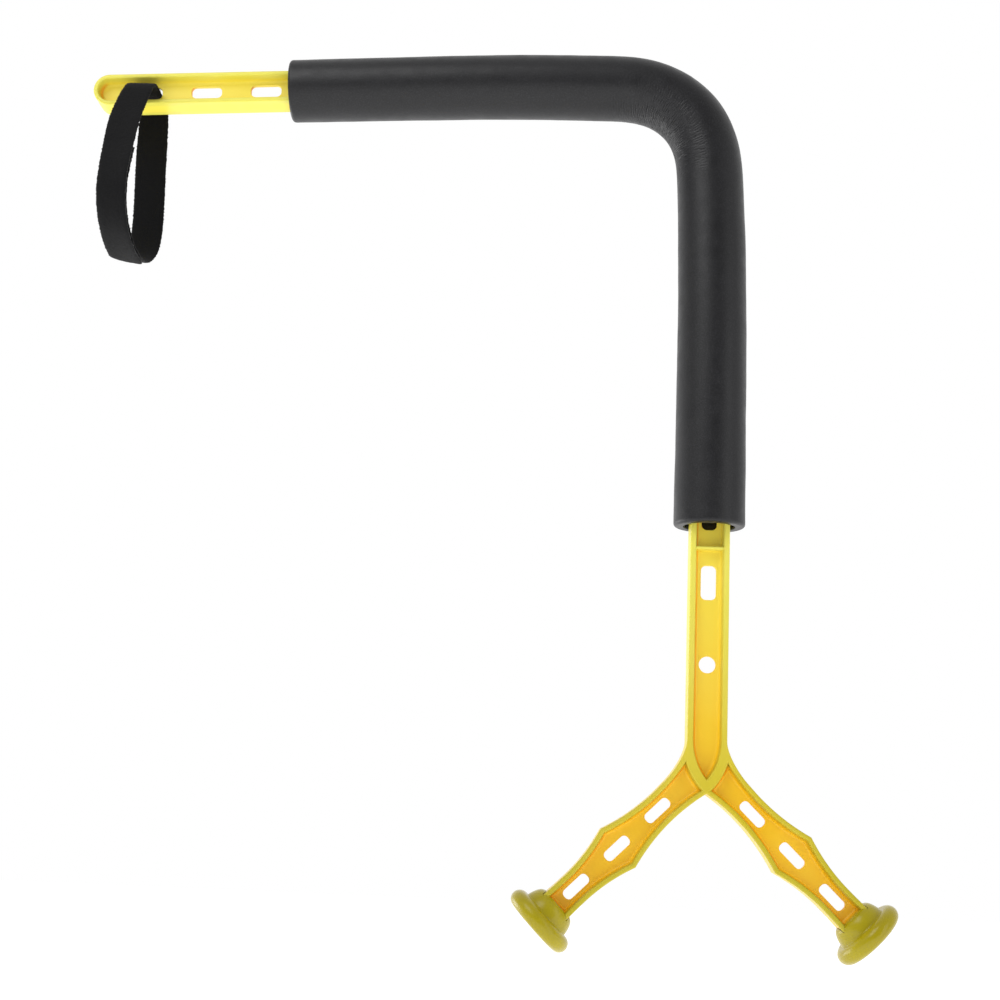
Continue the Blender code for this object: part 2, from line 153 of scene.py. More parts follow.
# Foam sleeve
SLEEVE_ARM_END = 0.2792
SLEEVE_STEM_END = -0.2967
SLEEVE_RADII = (0.0201, 0.0222)
SLEEVE_BORES = (0.0147, 0.0159)
SLEEVE_EDGE = 0.0022
BORE_EDGE = 0.0006
SLEEVE_SIDES = 132
STRAIGHT_RINGS = 110
BEND_RINGS = 1000
CREASED_LENGTH = 0.099
CREASE_PITCH = 0.0019
CREASE_DEPTH = 0.0008
CREASE_LANES = 5.2
INSIDE_SINK = 0.0004
FOAM_UNEVENNESS = ((28, 0.00022), (90, 0.00008))  # frequency, height

# Strap, as a path in the YZ plane about the outermost slot's centre
STRAP_WIDTH = 0.0212
STRAP_PINCHED = 0.0190
STRAP_THICKNESS = 0.0016
PATCH_THICKNESS = 0.0012
LAYER_GAP = 0.0003
STRAP_LOOP = (
    (0.000, 0.000),
    (-0.0132, 0.0000),
    (-0.0196, -0.0046),
    (-0.0280, -0.0270),
    (-0.0365, -0.0500),
    (-0.0435, -0.0700),
    (-0.0450, -0.0870),
    (-0.0355, -0.1015),
    (-0.0160, -0.1110),
    (0.0040, -0.1135),
    (0.0180, -0.1050),
    (0.0255, -0.0900),
    (0.0260, -0.0700),
    (0.0215, -0.0380),
    (0.0190, -0.0048),
    (0.0130, 0.0000),
)
LOOP_POINTS = len(STRAP_LOOP)
STRAP_START = 4.25
STRAP_END = 24.6
STRAP_RISE = (17.0, 20.0)
PATCH_SPAN = (20.5, 24.4)
STRAP_TWIST = 0.0042
TWIST_PLACE = (6.3, 2.3)
STRAP_SKEW = 0.0045
SKEW_SPANS = ((1.6, 1.8), (7.5, 3.5))
PINCH_SPAN = (1.4, 1.6)
WEAVE_STEP = 0.0009
RIB_STEP = 0.0017
RAG = 0.00062
BAND_STEP = 0.0008
PATH_STEPS = 400
END_CORNER = (0.004, 0.0035)
STRAP_FUZZ = 0.00018
PATCH_INSET = 0.0005
PATCH_FUZZ = 0.00005

ARM_DIRECTION = Vector((-math.cos(ARM_DROP), 0, -math.sin(ARM_DROP)))
ARM_UP = Vector((-math.sin(ARM_DROP), 0, math.cos(ARM_DROP)))
BEND_TURN = math.pi / 2 + ARM_DROP


# ---------------------------------------------------------------- outlines


def mix(a, b, share):
    return a + (b - a) * share


def smooth_step(x):
    x = min(1.0, max(0.0, x))
    return x * x * (3 - 2 * x)


def arc(centre, radius, start, end, steps):
    """Points along a circular arc, from start to end in radians."""
    angles = [start + (end - start) * i / steps for i in range(steps + 1)]
    return [(centre[0] + radius * math.cos(a), centre[1] + radius * math.sin(a)) for a in angles]


def bezier(points, steps):
    """Points along a Bezier curve of any degree, both ends included."""
    found = []
    for i in range(steps + 1):
        level = [Vector(p) for p in points]
        while len(level) > 1:
            level = [a.lerp(b, i / steps) for a, b in zip(level, level[1:])]
        found.append(tuple(level[0]))
    return found


def rounded_rectangle(length, width, corner, steps=8):
    points = []
    for turn, (sx, sy) in enumerate(((1, 1), (-1, 1), (-1, -1), (1, -1))):
        centre = (sx * (length / 2 - corner), sy * (width / 2 - corner))
        points += arc(centre, corner, turn * math.pi / 2, (turn + 1) * math.pi / 2, steps)
    return points


def circle(centre, radius, steps):
    return arc(centre, radius, 0, 2 * math.pi, steps)[:-1]


def arm_point(s, h):
    """(x, z) of a point s along the arm from the corner and h above its centreline."""
    at = ARM_DIRECTION * s + ARM_UP * h
    return at.x, at.z


def leg_point(side, q, n):
    """(x, z) of a point q along a leg from the junction and n to its outer side."""
    along = (math.sin(LEG_ANGLE), -math.cos(LEG_ANGLE))
    across = (math.cos(LEG_ANGLE), math.sin(LEG_ANGLE))
    return side * (along[0] * q + across[0] * n), JUNCTION + along[1] * q + across[1] * n


def bend_heading(share):
    """Direction of travel from arm to stem, above +X, at a share of the way along bend and tails."""
    bend = smooth_step((share - 0.5) * BEND_TAILS / BEND_LENGTH + 0.5)
    turned_by = (1 - TAIL_SHARE) * bend + TAIL_SHARE * smooth_step(share)
    return ARM_DROP - BEND_TURN * turned_by


def bend_stations(steps, parts=4):
    """Centreline of the bend, from arm to stem: (point, outward vector, share of the way round)."""
    count = steps * parts
    at = Vector((0, 0, 0))
    found = []
    for i in range(count + 1):
        if i % parts == 0:
            heading = bend_heading(i / count)
            found.append((at.copy(), Vector((-math.sin(heading), 0, math.cos(heading))), i / count))
        heading = bend_heading((i + 0.5) / count)
        at += Vector((math.cos(heading), 0, math.sin(heading))) * BEND_TAILS / count
    reach = found[-1][0].x
    shift = Vector((-reach, 0, -reach * math.tan(ARM_DROP)))
    return [(point + shift, outward, share) for point, outward, share in found]


def bar_band(start, end, arm_half, stem_half, cap_steps):
    """Outline of a band along arm, bend and stem, round at the arm's end and square at the stem's."""
    outer, inner = [], []
    for point, outward, share in bend_stations(160):
        half = mix(arm_half, stem_half, share)
        outer.append(point + outward * half)
        inner.append(point - outward * half)
    cap = []
    for h, s in arc((0, 0), arm_half, math.pi, 0, cap_steps):
        cap.append(arm_point(start - arm_half + s, h))
    outline = cap + [(p.x, p.z) for p in outer]
    outline += [(stem_half, end), (-stem_half, end)]
    return outline + [(p.x, p.z) for p in reversed(inner)]


def leg_half(q):
    """Half the width of a leg at q: two waists, a corner between and a small flare at the end."""
    waist = 0 if q < ELBOW[0] else 1
    if q > WAISTS[1]:
        return WAIST_HALVES[1] + END_FLARE[1] * ((q - WAISTS[1]) / END_FLARE[0]) ** 2
    share = (q - WAISTS[waist]) / (ELBOW[0] - WAISTS[waist])
    return WAIST_HALVES[waist] + (ELBOW[1] - WAIST_HALVES[waist]) * share**2


def leg_stations(start, end):
    """Places along a leg for its curved edges, with one on its corner and one on each waist."""
    places = {start, end}
    upper, lower = WAISTS
    spans = ((start, upper, 16), (upper, ELBOW[0], 30), (ELBOW[0], lower, 30), (lower, end, 12))
    for low, high, steps in spans:
        places |= {round(mix(low, high, i / steps), 7) for i in range(steps + 1)}
    return sorted(places)


def leg_edge(side, across, start, end, inset=0.0):
    return [leg_point(side, q, across * (leg_half(q) - inset)) for q in leg_stations(start, end)]


def crotch_place():
    """Where the inner edges of the two legs meet, as q."""
    q = 0.011
    for _ in range(20):
        q = leg_half(q) / math.tan(LEG_ANGLE)
    return q


def fork_outline(top):
    """Outline of the fork, from the stem's top down the flares and round both legs."""
    join = Vector(leg_point(1, FLARE_JOIN, leg_half(FLARE_JOIN)))
    along = Vector(leg_point(1, 1, 0)) - Vector(leg_point(1, 0, 0))
    corner = Vector((STEM_WIDTH / 2, FLARE_TOP))
    half = [(STEM_WIDTH / 2, top)]
    upper, lower = FLARE_HANDLES
    half += bezier((corner, corner - Vector((0, upper)), join - along * lower, join), 30)
    half += leg_edge(1, 1, FLARE_JOIN, LEG_END)[1:]
    half += reversed(leg_edge(1, -1, crotch_place(), LEG_END)[1:])
    crotch = leg_point(1, crotch_place(), -leg_half(crotch_place()))
    return half + [(0, crotch[1])] + [(-x, z) for x, z in reversed(half)]


def stem_pocket(top):
    """Outline of the pocket in the stem, square at the top and running down into the V."""
    half = STEM_WIDTH / 2 - STEM_RIM
    start = (half, FLARE_TOP)
    pull = (half - STEM_POCKET_TAPER[0], FLARE_TOP - STEM_POCKET_TAPER[1])
    side = bezier((start, pull, (0, STEM_POCKET_TIP)), 30)
    return [(-half, top), (half, top)] + side + [(-x, z) for x, z in reversed(side[:-1])]


def leg_pocket(side):
    """Outline of the pocket in a leg, arched at the top along the V between the legs."""
    outer = leg_edge(side, 1, LEG_POCKET_STARTS[0], LEG_POCKET_END, LEG_RIM)
    inner = leg_edge(side, -1, LEG_POCKET_STARTS[1], LEG_POCKET_END, LEG_RIM)
    arch = (side * LEG_POCKET_ARCH[0], JUNCTION - LEG_POCKET_ARCH[1])
    band = bezier((inner[0], arch, outer[0]), 16)
    return outer + list(reversed(inner)) + band[1:-1]


def anticlockwise(loop):
    """The loop as vectors, without repeated points, turning anticlockwise seen from the front."""
    points = []
    for p in loop:
        p = Vector(p)
        if not points or (p - points[-1]).length > SAME_POINT:
            points.append(p)
    if (points[0] - points[-1]).length < SAME_POINT:
        points.pop()
    area = sum(a.x * b.y - b.x * a.y for a, b in zip(points, points[1:] + points[:1]))
    return points if area > 0 else points[::-1]


def fine(loop, step):
    """The loop with its long segments divided."""
    points = anticlockwise(loop)
    found = []
    for a, b in zip(points, points[1:] + points[:1]):
        count = max(1, math.ceil((b - a).length / step))
        found += [a.lerp(b, i / count) for i in range(count)]
    return found


def round_corners(loop, radius):
    """The loop with an arc in place of each sharp corner."""
    points = anticlockwise(loop)
    found = []
    for a, b, c in zip(points[-1:] + points[:-1], points, points[1:] + points[:1]):
        before, after = (b - a).normalized(), (c - b).normalized()
        turn = before.angle(after)
        if turn < SHARP_TURN:
            found.append(b)
            continue
        cut = min(radius * math.tan(turn / 2), 0.45 * (b - a).length, 0.45 * (c - b).length)
        found += [Vector(p) for p in bezier((b - before * cut, b, b + after * cut), 6)]
    return found


# ---------------------------------------------------------------- mouldings


class Shell:
    """A mesh gathered face by face, with its own normal at each corner of each face."""

    def __init__(self):
        self.places = {}
        self.points = []
        self.faces = []
        self.normals = []

    def point(self, at):
        key = tuple(round(c * 1e6) for c in at)
        if key not in self.places:
            self.places[key] = len(self.points)
            self.points.append(Vector(at))
        return self.places[key]

    def face(self, corners):
        kept = []
        for at, normal in corners:
            index = self.point(at)
            if all(index != other for other, _ in kept):
                kept.append((index, Vector(normal)))
        if len(kept) < 3:
            return
        flat = geometry.normal([self.points[i] for i, _ in kept])
        if flat.dot(sum((n for _, n in kept), Vector())) < 0:
            kept.reverse()
        self.faces.append([i for i, _ in kept])
        self.normals += [n for _, n in kept]

    def build(self, name):
        mesh = bpy.data.meshes.new(name)
        mesh.from_pydata(self.points, [], self.faces)
        mesh.shade_smooth()
        mesh.normals_split_custom_set([n.normalized() for n in self.normals])
        made = bpy.data.objects.new(name, mesh)
        bpy.context.scene.collection.objects.link(made)
        return made


def corner_frames(loop):
    """For each point of a loop: the point, its mitre, and the outward normals on its two sides."""
    found = []
    for a, b, c in zip(loop[-1:] + loop[:-1], loop, loop[1:] + loop[:1]):
        before, after = (b - a).normalized(), (c - b).normalized()
        first, second = Vector((before.y, -before.x)), Vector((after.y, -after.x))
        middle = (first + second).normalized()
        mitre = middle / max(MITRE_LIMIT, middle.dot(second))
        soft = first.dot(second) > math.cos(SOFT_TURN)
        found.append((b, mitre, middle if soft else first, middle if soft else second))
    return found


def grown(loop, amount):
    return [at + mitre * amount for at, mitre, _, _ in corner_frames(loop)]


def wall(shell, loop, profile):
    """Faces round a loop. The profile holds (growth, y, outward part and y part of the normal)."""
    frames = corner_frames(loop)
    for (p, p_mitre, _, p_normal), (q, q_mitre, q_normal, _) in zip(frames, frames[1:] + frames[:1]):
        for low, high in zip(profile, profile[1:]):
            corners = []
            for at, mitre, normal, level in (
                (p, p_mitre, p_normal, low),
                (q, q_mitre, q_normal, low),
                (q, q_mitre, q_normal, high),
                (p, p_mitre, p_normal, high),
            ):
                grow, y, out, front = level
                spot = at + mitre * grow
                corners.append(((spot.x, y, spot.y), (normal.x * out, front, normal.y * out)))
            shell.face(corners)


def inside(points, loop):
    """Which of the points lie in a loop."""
    x, z = points[:, 0], points[:, 1]
    found = np.zeros(len(points), bool)
    for a, b in zip(loop, loop[1:] + loop[:1]):
        crosses = (a.y > z) != (b.y > z)
        with np.errstate(divide="ignore", invalid="ignore"):
            at = (b.x - a.x) * (z - a.y) / (b.y - a.y) + a.x
        found ^= crosses & (x < at)
    return found


def nearest(points, loop):
    """Distance of each point from a loop, and the unit vector from the loop to the point."""
    starts = np.array(loop)
    ends = np.roll(starts, -1, 0)
    along = ends - starts
    to = points[:, None, :] - starts[None]
    share = np.clip((to * along).sum(2) / (along**2).sum(1), 0, 1)
    away = to - share[..., None] * along
    lengths = np.sqrt((away**2).sum(2))
    index = lengths.argmin(1)
    rows = np.arange(len(points))
    shortest = lengths[rows, index]
    return shortest, away[rows, index] / np.maximum(shortest, 1e-9)[:, None]


def sheet_of(shell, outer, holes, extra, height):
    """A triangulated sheet inside a loop and outside its holes. height maps points to (y, normal)."""
    points, edges = [], []
    for loop in [outer] + holes:
        first = len(points)
        points += loop
        edges += [(first + i, first + (i + 1) % len(loop)) for i in range(len(loop))]
    points += extra
    made, _, faces, *_ = geometry.delaunay_2d_cdt([Vector(p) for p in points], edges, [], 0, 1e-7)
    flat = np.array([(v.x, v.y) for v in made])
    faces = [f for f in faces if len(f) == 3]
    centres = np.array([flat[list(f)].mean(0) for f in faces])
    kept = inside(centres, outer)
    for hole in holes:
        kept &= ~inside(centres, hole)
    ys, normals = height(flat)
    for f, keep in zip(faces, kept):
        if keep:
            shell.face([((flat[i][0], ys[i], flat[i][1]), normals[i]) for i in f])


def edge_profile(half, rounding, out, steps=4):
    """A quarter round from a wall that looks outwards (1) or inwards (-1) to a face at y = half."""
    found = []
    for i in range(steps + 1):
        turn = math.pi / 2 * i / steps
        grow = -out * rounding * (1 - math.cos(turn))
        y = half - rounding + rounding * math.sin(turn)
        found.append((grow, y, out * math.cos(turn), math.sin(turn)))
    return found


def flat_at(y, face):
    """The height of a flat sheet that faces the back (1) or the front (-1)."""
    return lambda points: (np.full(len(points), y), [(0, face, 0)] * len(points))


def mirrored(profile):
    return [(grow, -y, out, -front) for grow, y, out, front in profile]


def moulding(shell, outline, pockets):
    """An I-section moulding. Each pocket is (loop, fillet, slots), the same on front and back."""
    half = DEPTH / 2
    outer = fine(round_corners(outline, CORNER_ROUND), OUTLINE_STEP)
    side = edge_profile(half, EDGE_ROUND, 1)
    rise, crest, foot = PARTING_RIDGE
    ridge = [(0, -foot, 1, 0), (rise, -crest, 1, 0), (rise, crest, 1, 0), (0, foot, 1, 0)]
    wall(shell, outer, mirrored(side)[::-1] + ridge + side)
    loops = [(fine(loop, POCKET_STEP), fillet, slots) for loop, fillet, slots in pockets]
    for face in (-1, 1):
        rims = [grown(loop, EDGE_ROUND) for loop, _, _ in loops]
        sheet_of(shell, grown(outer, -EDGE_ROUND), rims, [], flat_at(face * half, face))
        for loop, fillet, slots in loops:
            floor_loop = grown(loop, -DRAFT)
            down = [(-DRAFT, WEB / 2 + fillet, -1, 0.04)] + edge_profile(half, EDGE_ROUND, -1)
            wall(shell, loop, down if face > 0 else mirrored(down))
            extra = []
            for share in FILLET_SHARES:
                reach = share * fillet
                trial = grown(floor_loop, -reach)
                away, _ = nearest(np.array(trial), floor_loop)
                good = (away > reach * 0.98) & inside(np.array(trial), floor_loop)
                extra += [p for p, ok in zip(trial, good) if ok]

            def height(p, face=face, fillet=fillet, floor_loop=floor_loop):
                away, toward = nearest(p, floor_loop)
                short = np.clip(fillet - away, 0, fillet)
                rise = np.sqrt(fillet**2 - short**2)
                ys = face * (WEB / 2 + fillet - rise)
                tilt = short / fillet
                out = np.stack([toward[:, 0] * tilt, face * rise / fillet, toward[:, 1] * tilt], 1)
                return ys, [tuple(n) for n in out]

            holes = [grown(slot, SLOT_ROUND) for slot in slots]
            sheet_of(shell, floor_loop, holes, extra, height)
    for _, _, slots in loops:
        for slot in slots:
            lip = edge_profile(WEB / 2, SLOT_ROUND, -1, 3)
            wall(shell, slot, mirrored(lip)[::-1] + lip)


def plate(shell, outline, holes, low, high):
    """A flat plate between two depths, with holes."""
    outer = anticlockwise(outline)
    wall(shell, outer, [(0, low, 1, 0), (0, high, 1, 0)])
    for hole in holes:
        wall(shell, hole, [(0, low, -1, 0), (0, high, -1, 0)])
    for y, face in ((low, -1), (high, 1)):
        sheet_of(shell, outer, holes, [], flat_at(y, face))


def rib(shell, half, face):
    """A cross rib in the stem's pocket, a little below the rims, with a rounded crest."""
    crest = DEPTH / 2 - RIB_DROP
    rounding = RIB_THICKNESS * 0.4
    section = [(-RIB_THICKNESS * wide, WEB / 2 + y) for wide, y in RIB_FOOT]
    for z, y in arc((0, 0), rounding, math.pi, math.pi / 2, 4):
        section.append((z - RIB_THICKNESS / 2 + rounding, crest - rounding + y))
    section += [(-z, y) for z, y in reversed(section)]
    normals = []
    for i in range(len(section)):
        a = section[max(0, i - 1)]
        b = section[min(len(section) - 1, i + 1)]
        normals.append(Vector((0, face * (b[0] - a[0]), -(b[1] - a[1]))).normalized())
    for i in range(len(section) - 1):
        corners = []
        for x, k in ((-half, i), (half, i), (half, i + 1), (-half, i + 1)):
            z, y = section[k]
            corners.append(((x, face * y, STEM_RIB + z), normals[k]))
        shell.face(corners)
    for x, out in ((-half, -1), (half, 1)):
        shell.face([((x, face * y, STEM_RIB + z), (out, 0, 0)) for z, y in section])
    z, y = section[0]
    under = ((-half, z), (half, z), (half, -z), (-half, -z))
    shell.face([((x, face * y, STEM_RIB + up), (0, -face, 0)) for x, up in under])


def screw_holes():
    return [circle_loop((0, height), SCREW_HOLE, 20) for height in SCREW_HEIGHTS]


def circle_loop(centre, radius, steps):
    return anticlockwise(circle(centre, radius, steps))


def make_arm_bar():
    """The arm, the hidden elbow and the front half of the lap joint."""
    shell = Shell()
    arm_half, half = ARM_WIDTH / 2, STEM_WIDTH / 2
    outline = bar_band(ARM_TIP, LAP_TOP, arm_half, half, 40)
    inner = bar_band(ARM_TIP - ARM_RIM, LAP_TOP + STEM_RIM, arm_half - ARM_RIM, half - STEM_RIM, 32)
    slots = []
    for s in ARM_SLOTS:
        loop = rounded_rectangle(*ARM_SLOT_SIZE, SLOT_CORNER)
        slots.append(anticlockwise([arm_point(s + u, v) for u, v in loop]))
    moulding(shell, outline, [(inner, ARM_FILLET, slots)])
    end = LAP_TOP - LAP_LENGTH
    outline = [(-half, LAP_TOP), (half, LAP_TOP), (half, end), (-half, end)]
    plate(shell, outline, screw_holes(), -DEPTH / 2, -LAP_GAP / 2)
    return shell.build("arm_bar_skin")


def make_fork():
    """The stem with its rib and holes, both legs, their tenons and the back half of the lap joint."""
    shell = Shell()
    lap_end = LAP_TOP - LAP_LENGTH - LAP_GAP
    slots = []
    for z in STEM_SLOTS:
        loop = rounded_rectangle(*STEM_SLOT_SIZE, SLOT_CORNER)
        slots.append(anticlockwise([(u, z + v) for u, v in loop]))
    slots.append(circle_loop((0, ROUND_HOLE[0]), ROUND_HOLE[1], 48))
    pockets = [(stem_pocket(lap_end - STEM_RIM), STEM_FILLET, slots)]
    for side in (-1, 1):
        slots = []
        for q in LEG_SLOTS:
            loop = rounded_rectangle(*LEG_SLOT_SIZE, LEG_SLOT_CORNER)
            slots.append(anticlockwise([leg_point(side, q + u, v) for u, v in loop]))
        pockets.append((leg_pocket(side), LEG_FILLET, slots))
    moulding(shell, fork_outline(lap_end), pockets)
    for face in (-1, 1):
        rib(shell, STEM_WIDTH / 2 - STEM_RIM + RIB_REACH, face)
    half = STEM_WIDTH / 2
    top = LAP_TOP - LAP_GAP
    outline = [(-half, top), (half, top), (half, lap_end), (-half, lap_end)]
    plate(shell, outline, screw_holes(), LAP_GAP / 2, DEPTH / 2)
    for side in (-1, 1):
        half = TENON[0] / 2
        root, tip = LEG_END - TENON_ROOT, LEG_END + TENON[2]
        corners = ((root, half), (tip, half), (tip, -half), (root, -half))
        outline = [leg_point(side, q, n) for q, n in corners]
        plate(shell, outline, [], -TENON[1] / 2, TENON[1] / 2)
    return shell.build("fork_skin")


# ---------------------------------------------------------------- pads


def new_object(name, points, faces, sharp=None):
    """A smooth-shaded object, with sharp edges kept above an angle in degrees."""
    mesh = bpy.data.meshes.new(name)
    mesh.from_pydata([tuple(p) for p in points], [], faces)
    mesh.shade_smooth()
    if sharp:
        mesh.set_sharp_from_angle(angle=math.radians(sharp))
    made = bpy.data.objects.new(name, mesh)
    bpy.context.scene.collection.objects.link(made)
    return made


def carve(target, place, across, deep, low, high):
    """Cut a box out of a turned piece, in the piece's own axes."""
    corners = [(x, y, z) for z in (low, high) for y in (-deep, deep) for x in (-across, across)]
    sides = ((0, 2, 3, 1), (4, 5, 7, 6), (0, 1, 5, 4), (2, 6, 7, 3), (0, 4, 6, 2), (1, 3, 7, 5))
    cutter = new_object("carver", [place @ Vector(c) for c in corners], sides)
    cut = target.modifiers.new("carve", "BOOLEAN")
    cut.operation = "DIFFERENCE"
    cut.solver = "EXACT"
    cut.object = cutter
    graph = bpy.context.evaluated_depsgraph_get()
    carved = bpy.data.meshes.new_from_object(target.evaluated_get(graph))
    target.modifiers.remove(cut)
    target.data = carved
    bpy.data.objects.remove(cutter, do_unlink=True)
    carved.set_sharp_from_angle(angle=math.radians(40))


def make_pad(word):
    """An end pad, turned about its axis: a domed hub with a socket, on a thick round-edged flange."""
    mount = MOUNTS[word + "_pad_face"]
    face = Vector(mount["pos_m"])
    axis = Vector(mount["axis"]).normalized()
    edge = PAD_THICKNESS / 2
    rim = PAD_RADIUS - edge
    back = -PAD_THICKNESS
    mouth = -HUB_LENGTH
    root = [(HUB_RADIUS + grow, back + h) for grow, h in HUB_ROOT]
    profile = [(0, mouth), (HUB_MOUTH * 0.5, mouth)]
    profile += [(HUB_MOUTH + grow, mouth + h) for grow, h in HUB_LIP]
    profile += bezier([(r, mouth + h) for r, h in HUB_DOME] + root[:1], 20)
    profile += root[1:]
    profile += arc((rim, back + edge), edge, -math.pi / 2, math.pi / 2, 28)
    profile += [(rim * share, 0.0) for share in (0.75, 0.5, 0.25, 0)]
    points, rings = [], []
    for r, h in profile:
        ring = []
        if r == 0:
            ring = [len(points)] * TURN_STEPS
            points.append(Vector((0, 0, h)))
        else:
            for i in range(TURN_STEPS):
                turn = 2 * math.pi * i / TURN_STEPS
                ring.append(len(points))
                points.append(Vector((r * math.cos(turn), r * math.sin(turn), h)))
        rings.append(ring)
    faces = []
    for a, b in zip(rings, rings[1:]):
        for i in range(TURN_STEPS):
            j = (i + 1) % TURN_STEPS
            face_points = list(dict.fromkeys((a[i], a[j], b[j], b[i])))
            if len(face_points) > 2:
                faces.append(face_points)
    turn = Vector((0, 0, 1)).rotation_difference(axis).to_matrix().to_4x4()
    place = Matrix.Translation(face) @ turn
    pad = new_object(word + "_pad_skin", [place @ p for p in points], faces, 50)
    depth = HUB_LENGTH - (LEG_END - PAD_MOUTH)
    for across, deep, bottom in (
        (leg_half(LEG_END), DEPTH / 2, -depth - PAD_PLAY),
        (TENON[0] / 2, TENON[1] / 2, -depth + TENON[2] + PAD_PLAY),
    ):
        carve(pad, place, across + PAD_PLAY, deep + PAD_PLAY, -HUB_LENGTH - 0.01, bottom)
    return pad


# ---------------------------------------------------------------- foam sleeve


def sleeve_stations():
    """Rings along the sleeve (centre, outward vector, length so far), and the bend's two ends."""
    count = STRAIGHT_RINGS
    bend = [(point, outward) for point, outward, _ in bend_stations(BEND_RINGS)]
    arm_end = ARM_DIRECTION * SLEEVE_ARM_END
    stem_end = Vector((0, 0, SLEEVE_STEM_END))
    rings = [(arm_end.lerp(bend[0][0], i / count), ARM_UP) for i in range(count)]
    rings += bend
    rings += [(bend[-1][0].lerp(stem_end, i / count), Vector((1, 0, 0))) for i in range(1, count + 1)]
    lengths = [0.0]
    for (a, _), (b, _) in zip(rings, rings[1:]):
        lengths.append(lengths[-1] + (b - a).length)
    stations = [(p, o, length) for (p, o), length in zip(rings, lengths)]
    return stations, lengths[count], lengths[count + BEND_RINGS]


def crease(along, around):
    """Depth of the short staggered creases that foam takes on the inside of a bend."""
    lane = around * CREASE_LANES
    total = 0.0
    for k in (0, 1):
        row = math.floor(lane + k * 0.5)
        inside_lane = lane + k * 0.5 - row
        shift = noise.noise(Vector((row * 7.3 + k * 31, 0.5, 2.2))) * 3
        wobble = noise.noise(Vector((along / 0.004, row * 3.1, k * 9.0))) * 0.35
        phase = along / CREASE_PITCH + shift + wobble
        ridge = 1 - abs(2 * (phase - math.floor(phase)) - 1)
        window = math.sin(math.pi * inside_lane) ** 1.5
        live = noise.noise(Vector((math.floor(phase) * 1.7, row * 2.3, k * 5.0)))
        gate = smooth_step((live + 0.25) / 0.35)
        total += window * gate * max(0.0, ridge - 0.45) ** 1.6 * 2.4
    return total


def make_sleeve():
    """The foam tube: outer skin from arm to stem, both rounded ends and the bore, closed."""
    stations, bend_start, bend_end = sleeve_stations()
    total = stations[-1][2]
    middle = (bend_start + bend_end) / 2
    points, rings = [], []

    def ring_at(centre, outward, length, radius, textured):
        ring = []
        share_along = (length - middle) / (CREASED_LENGTH * 0.5)
        envelope = math.exp(-(abs(share_along) / 0.95) ** 4)
        for i in range(SLEEVE_SIDES):
            around = 2 * math.pi * i / SLEEVE_SIDES
            direction = outward * math.cos(around) + Vector((0, -1, 0)) * math.sin(around)
            r = radius
            if textured:
                at = centre + direction * radius
                for frequency, height in FOAM_UNEVENNESS:
                    r += noise.noise(at * frequency) * height
                inner = smooth_step((0.15 - math.cos(around)) / 0.7)
                if envelope > 0.01 and inner > 0.01:
                    lane = abs(around - math.pi)
                    if around > math.pi:
                        lane = -lane
                    r -= envelope * inner * crease(length, lane) * CREASE_DEPTH
                r -= envelope * (0.5 - 0.5 * math.cos(around)) ** 3 * INSIDE_SINK
            ring.append(len(points))
            points.append(centre + direction * r)
        rings.append(ring)

    def end_rings(station, tangent, outer, bore):
        p, o, length = station
        base = p - tangent * SLEEVE_EDGE
        for i in range(1, 8):
            turn = math.pi / 2 * i / 7
            centre = base + tangent * SLEEVE_EDGE * math.sin(turn)
            ring_at(centre, o, length, outer - SLEEVE_EDGE * (1 - math.cos(turn)), True)
        for share in (0.25, 0.5, 0.75):
            ring_at(p, o, length, mix(outer - SLEEVE_EDGE, bore + BORE_EDGE, share), True)
        for i in range(5):
            turn = math.pi / 2 * i / 4
            centre = p - tangent * BORE_EDGE * (1 - math.cos(turn))
            ring_at(centre, o, length, bore + BORE_EDGE * (1 - math.sin(turn)), False)

    for p, o, length in stations:
        if SLEEVE_EDGE <= length <= total - SLEEVE_EDGE:
            ring_at(p, o, length, mix(*SLEEVE_RADII, length / total), True)
    end_rings(stations[-1], Vector((0, 0, -1)), SLEEVE_RADII[1], SLEEVE_BORES[1])
    for p, o, length in reversed(stations[4:-4:10]):
        ring_at(p, o, length, mix(*SLEEVE_BORES, min(1, length / total * 2)), False)
    mark = len(rings)
    end_rings(stations[0], ARM_DIRECTION, SLEEVE_RADII[0], SLEEVE_BORES[0])
    rings[mark:] = reversed(rings[mark:])
    faces = []
    for a, b in zip(rings, rings[1:] + rings[:1]):
        for i in range(SLEEVE_SIDES):
            j = (i + 1) % SLEEVE_SIDES
            faces.append((a[i], b[i], b[j], a[j]))
    return new_object("foam_sleeve_skin", points, faces)


# ---------------------------------------------------------------- strap


def loop_point(t):
    """A smooth closed curve through the strap's points, and its outward normal, at t points along."""
    base = math.floor(t)
    share = t - base
    p = [Vector(STRAP_LOOP[(base + k) % LOOP_POINTS]) for k in (-1, 0, 1, 2)]
    at = 0.5 * (
        2 * p[1]
        + (p[2] - p[0]) * share
        + (2 * p[0] - 5 * p[1] + 4 * p[2] - p[3]) * share**2
        + (3 * p[1] - 3 * p[2] + p[3] - p[0]) * share**3
    )
    slope = 0.5 * (
        (p[2] - p[0])
        + 2 * (2 * p[0] - 5 * p[1] + 4 * p[2] - p[3]) * share
        + 3 * (3 * p[1] - 3 * p[2] + p[3] - p[0]) * share**2
    )
    slope.normalize()
    return at, Vector((slope.y, -slope.x))


def strap_rise(t):
    """How far the band stands outside its own first layer."""
    full = STRAP_THICKNESS + PATCH_THICKNESS + 2 * LAYER_GAP
    return full * smooth_step((t - STRAP_RISE[0]) / (STRAP_RISE[1] - STRAP_RISE[0]))


def patch_rise(t):
    """How far the hook patch, just below the band's outer layer, stands outside the first layer."""
    return strap_rise(t) - (STRAP_THICKNESS / 2 + LAYER_GAP + PATCH_THICKNESS / 2)


